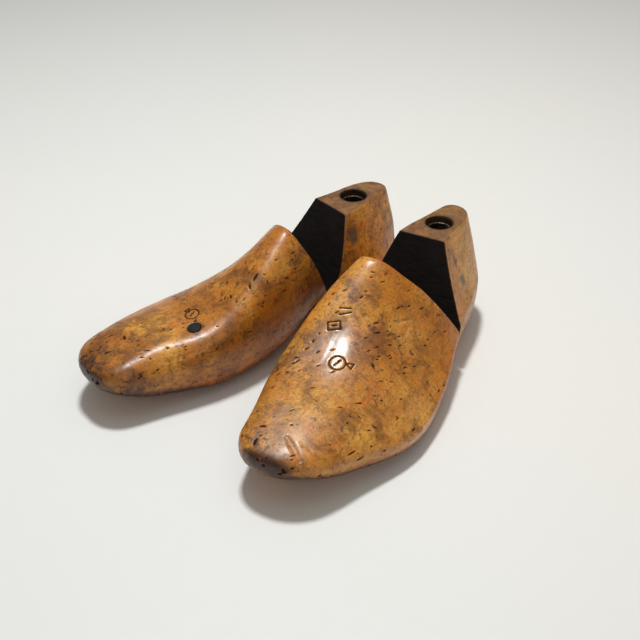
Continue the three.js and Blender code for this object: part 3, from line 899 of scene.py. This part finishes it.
    polish = n.attribute("polish")
    rough = n.minus(n.ramp(mottle, 0.3, 0.75, 0.34, 0.5), n.times(polish, 0.06))
    broken = n.ramp(scar, 0.02, 0.3)
    rough = n.plus(rough, n.times(n.most(broken, flecks), 0.3))
    rough = n.plus(rough, n.times(n.most(sawn, n.times(top, 0.35)), 0.45))
    height = n.plus(n.times(grain, 0.35), n.times(dirt_noise, 0.3))
    height = n.minus(height, n.times(flecks, 0.6))
    normal = n.bump(height, 0.35, 0.12 * MM)
    normal = n.bump(n.times(saw_lines, sawn), 0.6, 0.5 * MM, normal)
    bare = n.most(n.most(sawn, broken), n.times(top, 0.8))
    coat = n.times(n.ramp(bare, 0, 1, 1, 0), n.ramp(polish, 0, 1, 0.16, 0.85))
    shine = n.ramp(bare, 0, 1, 0.42, 0.12)
    return n.finish(
        base_color=colour,
        roughness=rough,
        normal=normal,
        specular_ior_level=shine,
        coat_weight=coat,
        coat_roughness=0.25,
    )


def steel_material(name, bright, dull, rust, rust_share):
    """Old iron or steel: grey with brown rust in patches."""
    n = Nodes(name)
    place = n.attribute("place", "Vector")
    patches = n.noise(place, 0.35, 6, 0.65, 0.4)
    fine = n.noise(place, 2.4, 4, 0.6)
    scratches = n.noise(n.mapped(place, (0.3, 3.0, 3.0)), 1.2, 4)
    rusted = n.ramp(patches, 0.62 - rust_share, 0.74 - rust_share)
    colour = n.mix(n.ramp(fine, 0.3, 0.7), srgb(*bright), srgb(*dull))
    colour = n.mix(rusted, colour, srgb(*rust))
    rough = n.plus(n.ramp(scratches, 0.3, 0.7, 0.26, 0.42), n.times(rusted, 0.35))
    metal = n.ramp(rusted, 0, 1, 1, 0.25)
    normal = n.bump(n.plus(scratches, n.times(n.times(rusted, fine), 2)), 0.4, 0.1 * MM)
    return n.finish(base_color=colour, roughness=rough, metallic=metal, normal=normal)


def peg_material():
    """A blue-black peg with the rings of its end grain."""
    n = Nodes("dark_peg")
    place = n.attribute("place", "Vector")
    rings = n.noise(place, 1.6, 4, 0.6, 1.2)
    speck = n.noise(place, 4.0, 3)
    colour = n.mix(n.ramp(rings, 0.4, 0.65), srgb(20, 22, 28), srgb(34, 36, 42))
    colour = n.mix(n.ramp(speck, 0.6, 0.75, 0, 0.4), colour, srgb(60, 48, 38))
    return n.finish(
        base_color=colour,
        roughness=n.ramp(rings, 0.3, 0.7, 0.6, 0.8),
        specular_ior_level=0.2,
        normal=n.bump(rings, 0.5, 0.15 * MM),
    )


def floor_material():
    """Pale matt board with a faint tone and tooth."""
    n = Nodes("pale_floor")
    place = n.add("ShaderNodeTexCoord", {}, "Object")
    cloud = n.noise(place, 1.2, 3)
    tooth = n.noise(place, 90, 4, 0.6)
    colour = n.mix(n.ramp(cloud, 0.3, 0.7), srgb(226, 225, 220), srgb(221, 223, 222))
    rough = n.ramp(tooth, 0.3, 0.7, 0.5, 0.6)
    normal = n.bump(tooth, 0.15, 0.2 * MM)
    return n.finish(base_color=colour, roughness=rough, normal=normal)


# ---- the metal pieces ----


def pin(head, at, end):
    """A steel pin with its driven end peened round and its blind end chamfered, lying along x."""
    r = PIN_RADIUS
    length = end - head
    profile = [(0.35 * r, 0), (0.75 * r, 0.12), (0.93 * r, 0.4), (r, 0.9)]
    profile += [(r, length - 0.6), (r - 0.6, length)]
    obj = turned("pin", profile, 48)
    obj.data.transform(Matrix.Translation((head, at, PIN_HEIGHT)) @ Matrix.Rotation(math.pi / 2, 4, "Y"))
    return carved(obj, [])


def hinge_link():
    """The flat bar: round ends, an eye at the front, a window for the spring, and edges filed off."""
    half = LINK_THICKNESS / 2
    ends = arc((FRONT_PIN_AT, PIN_HEIGHT), LINK_HALF_HEIGHT, math.pi / 2, 1.5 * math.pi, 32)
    ends = [*ends, *arc((REAR_PIN_AT, PIN_HEIGHT), LINK_HALF_HEIGHT, -math.pi / 2, math.pi / 2, 32)]
    hole = PIN_RADIUS + GAP
    eye = arc((FRONT_PIN_AT, PIN_HEIGHT), hole, 0, 2 * math.pi, 40)[:-1]
    window = arc((FRONT_PIN_AT + WINDOW_START, PIN_HEIGHT), hole, math.pi / 2, 1.5 * math.pi, 20)
    window += arc((REAR_PIN_AT, PIN_HEIGHT), hole, -math.pi / 2, math.pi / 2, 20)
    cuts = [("DIFFERENCE", prism(eye, -FAR, FAR)), ("DIFFERENCE", prism(window, -FAR, FAR))]
    return carved(prism(ends, -half, half), cuts, bevel=0.45)


def hinge_spring():
    """A coil of round wire along the window, its end turns closed and its ends rounded."""
    start = FRONT_PIN_AT + WINDOW_START - PIN_RADIUS + SPRING_WIRE + GAP
    end = REAR_PIN_AT - PIN_RADIUS - SPRING_WIRE - GAP
    steps, sides = SPRING_TURNS * 36, 14
    t = np.arange(steps + 1) / steps
    pitch = np.interp(t, [0, 0.14, 0.86, 1], [0.25, 1, 1, 0.25])
    travel = np.concatenate([[0], np.cumsum((pitch[1:] + pitch[:-1]) / 2)])
    y = start + (end - start) * travel / travel[-1]
    angle = 2 * math.pi * SPRING_TURNS * t
    line = np.stack([SPRING_RADIUS * np.cos(angle), y, PIN_HEIGHT + SPRING_RADIUS * np.sin(angle)], 1)
    tangent = np.gradient(line, axis=0)
    tangent /= np.linalg.norm(tangent, axis=1)[:, None]
    out = line - np.stack([np.zeros(len(y)), y, np.full(len(y), PIN_HEIGHT)], 1)
    out /= np.linalg.norm(out, axis=1)[:, None]
    across = np.cross(tangent, out)
    from_end = np.minimum(t, 1 - t) * steps / 4
    thick = SPRING_WIRE * np.sqrt(np.clip(1 - np.maximum(0, 1 - from_end) ** 2, 0.05, 1))
    around = 2 * math.pi * np.arange(sides) / sides
    ring = np.cos(around)[None, :, None] * out[:, None] + np.sin(around)[None, :, None] * across[:, None]
    points = (line[:, None] + thick[:, None, None] * ring).reshape(-1, 3)
    faces = [
        (i * sides + k, i * sides + (k + 1) % sides, (i + 1) * sides + (k + 1) % sides, (i + 1) * sides + k)
        for i in range(steps)
        for k in range(sides)
    ]
    faces += [tuple(range(sides))[::-1], tuple(range(steps * sides, (steps + 1) * sides))]
    return carved(make_object("spring", points, faces, tidy=True), [])


def thimble():
    """The steel tube lining the hole: a rolled upper lip, chamfers and a plain lower end."""
    outer = HOLE_RADIUS - GAP
    bore, length, lip = THIMBLE_BORE, THIMBLE_LENGTH, 0.5
    profile = [
        (bore, 0.4), (bore + 0.4, 0), (outer - 0.4, 0), (outer, 0.4), (outer, length - lip),
        (outer - 0.15, length - 0.15), (outer - lip, length), (bore + lip, length),
        (bore + 0.15, length - 0.15), (bore, length - lip - 0.2), (bore, length - 6), (bore, 0.4),
    ]
    obj = turned("thimble", profile, 72)
    obj.data.transform(Matrix.Translation((0, -HOLE_AT, TOP_HEIGHT - THIMBLE_RECESS - THIMBLE_LENGTH)))
    return carved(obj, [])


def vamp_peg():
    """The dark peg, its end trimmed to the curve of the wood and worn slightly proud in the middle."""
    r = PEG_RADIUS - 0.02
    profile = [(r - 0.8, -PEG_LENGTH), (r, -PEG_LENGTH + 0.8), (r, -0.75)]
    profile += [(r * 0.94, -0.45), (r * 0.8, -0.25), (r * 0.55, -0.1), (r * 0.25, -0.02)]
    obj = turned("peg", profile, 56)
    obj.data.transform(peg_matrix())
    return carved(obj, [])


# ---- putting the pieces in the row frame ----


def centre(node):
    low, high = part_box(node)
    return (low + high) / 2


def last_matrix(name):
    """From a last's own millimetres to the row frame's metres, read off its thimble and its hinge link."""
    back, front = centre(f"{name}_thimble"), centre(f"{name}_hinge_link")
    along = (back - front).to_2d().normalized()
    turn = math.atan2(-along.x, along.y)
    heel = back.to_2d() + along * HOLE_AT * MM
    return Matrix.Translation((heel.x, heel.y, 0)) @ Matrix.Rotation(turn, 4, "Z") @ Matrix.Scale(MM, 4)


def show(name, node, points, faces, material, painted=None):
    """Makes the finished piece that stands for a CAD node, in place in the row frame."""
    matrix = np.array(last_matrix(name))
    world = points @ matrix[:3, :3].T + matrix[:3, 3]
    world = np.clip(world, np.array(cad_box[0]), np.array(cad_box[1]))
    obj = make_object(f"{node}_finished", world, faces)
    mesh = obj.data
    own = mesh.attributes.new("place", "FLOAT_VECTOR", "POINT")
    own.data.foreach_set("vector", np.ascontiguousarray(points, dtype=np.float32).reshape(-1))
    for key, values in (painted or {}).items():
        layer = mesh.attributes.new(key, "FLOAT", "POINT")
        layer.data.foreach_set("value", np.ascontiguousarray(values, dtype=np.float32))
    mesh.materials.append(material)
    mesh.shade_smooth()
    if not painted:
        mesh.set_sharp_from_angle(angle=math.radians(SHARP_ABOVE))
    return obj


WOOD = wood_material()
IRON = steel_material("hinge_steel", (128, 124, 118), (84, 80, 76), (84, 52, 34), 0.08)
PIN_IRON = steel_material("pin_steel", (132, 128, 122), (92, 88, 84), (78, 50, 36), 0.05)
SPRING_IRON = steel_material("spring_steel", (104, 102, 100), (66, 64, 62), (70, 48, 34), 0.0)
THIMBLE_IRON = steel_material("thimble_steel", (110, 106, 102), (62, 58, 54), (66, 44, 32), 0.12)
PEG = peg_material()

for name, side in (("left", 1), ("right", -1)):
    matrix = last_matrix(name).inverted()
    heads = {}
    for end, at in (("front", FRONT_PIN_AT), ("rear", REAR_PIN_AT)):
        # the pins' heads are where the CAD has them: their length from the box, measured along the axis
        low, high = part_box(f"{name}_{end}_pin")
        axis_turn = math.atan2(matrix[0][1], matrix[0][0])
        span = (high - low).x / MM
        heads[end] = PIN_END - (span - 2 * PIN_RADIUS * abs(math.sin(axis_turn))) / abs(math.cos(axis_turn))

    surface, painted = wood_piece(name, side, "forepart")
    piece = show(name, f"{name}_forepart", surface.points, surface.quads.tolist(), WOOD, painted)
    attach(piece, f"{name}_forepart")
    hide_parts(f"{name}_forepart")

    surface, painted = wood_piece(name, side, "heel_block")
    piece = show(name, f"{name}_heel_block", surface.points, surface.quads.tolist(), WOOD, painted)
    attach(piece, f"{name}_heel")
    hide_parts(f"{name}_heel_block")

    metal = [
        ("hinge_link", hinge_link(), IRON, "link", "hinge_steel"),
        ("hinge_spring", hinge_spring(), SPRING_IRON, "link", "spring_steel"),
        ("front_pin", pin(heads["front"], FRONT_PIN_AT, PIN_END), PIN_IRON, "forepart", "pin_steel"),
        ("rear_pin", pin(heads["rear"], REAR_PIN_AT, PIN_END), PIN_IRON, "heel", "pin_steel"),
        ("thimble", thimble(), THIMBLE_IRON, "heel", "thimble_steel"),
    ]
    for node, (points, faces), material, body, finish_slot in metal:
        piece = show(name, f"{name}_{node}", points, faces, material)
        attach(piece, f"{name}_{body}")
        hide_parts(f"{name}_{node}")

points, faces = vamp_peg()
piece = show("right", "right_vamp_peg", points, faces, PEG)
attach(piece, "right_forepart")
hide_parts("right_vamp_peg")

# ---- floor, light and camera ----

FLOOR_SIZE = 8.0
floor_mesh = bpy.data.meshes.new("floor")
half = FLOOR_SIZE / 2
corners = [(-half, -half, 0), (half, -half, 0), (half, half, 0), (-half, half, 0)]
floor_mesh.from_pydata(corners, [], [(0, 1, 2, 3)])
floor = bpy.data.objects.new("floor", floor_mesh)
bpy.context.scene.collection.objects.link(floor)
floor_mesh.materials.append(floor_material())


def lamp(name, place, size, power, colour):
    """A square lamp at a place in the row frame, aimed at the object."""
    data = bpy.data.lights.new(name, "AREA")
    data.energy, data.size, data.color = power, size, colour
    obj = bpy.data.objects.new(name, data)
    obj.location = place
    obj.rotation_mode = "QUATERNION"
    obj.rotation_quaternion = ((cad_box[0] + cad_box[1]) / 2 - Vector(place)).to_track_quat("-Z", "Y")
    bpy.context.scene.collection.objects.link(obj)


lamp("ceiling_lamp", (-0.17, 0.12, 1.15), 0.15, 11, (0.985, 0.995, 0.99))
lamp("room_fill", (0.3, 0.2, 2.4), 2.2, 7, (0.94, 0.97, 1.0))
lamp("window_side", (1.05, -0.75, 0.75), 0.9, 2.6, (1.0, 0.92, 0.82))

ROOM_COLOUR, ROOM_STRENGTH = (1.0, 0.93, 0.84, 1), 0.25
world = bpy.data.worlds.new("room")
world.use_nodes = True
world.node_tree.nodes["Background"].inputs["Color"].default_value = ROOM_COLOUR
world.node_tree.nodes["Background"].inputs["Strength"].default_value = ROOM_STRENGTH
bpy.context.scene.world = world

CAMERA_PLACE = (0.3603, -0.42316, 0.402)
CAMERA_TURN = tuple(math.radians(a) for a in (56.28, 0, 39.73))
CAMERA_LENS, SENSOR_WIDTH = 61.54, 36
camera = bpy.data.objects.new("camera", bpy.data.cameras.new("camera"))
camera.location, camera.rotation_euler = CAMERA_PLACE, CAMERA_TURN
camera.data.lens, camera.data.sensor_width = CAMERA_LENS, SENSOR_WIDTH
bpy.context.scene.collection.objects.link(camera)
bpy.context.scene.camera = camera
bpy.context.scene.view_settings.view_transform = "Standard"
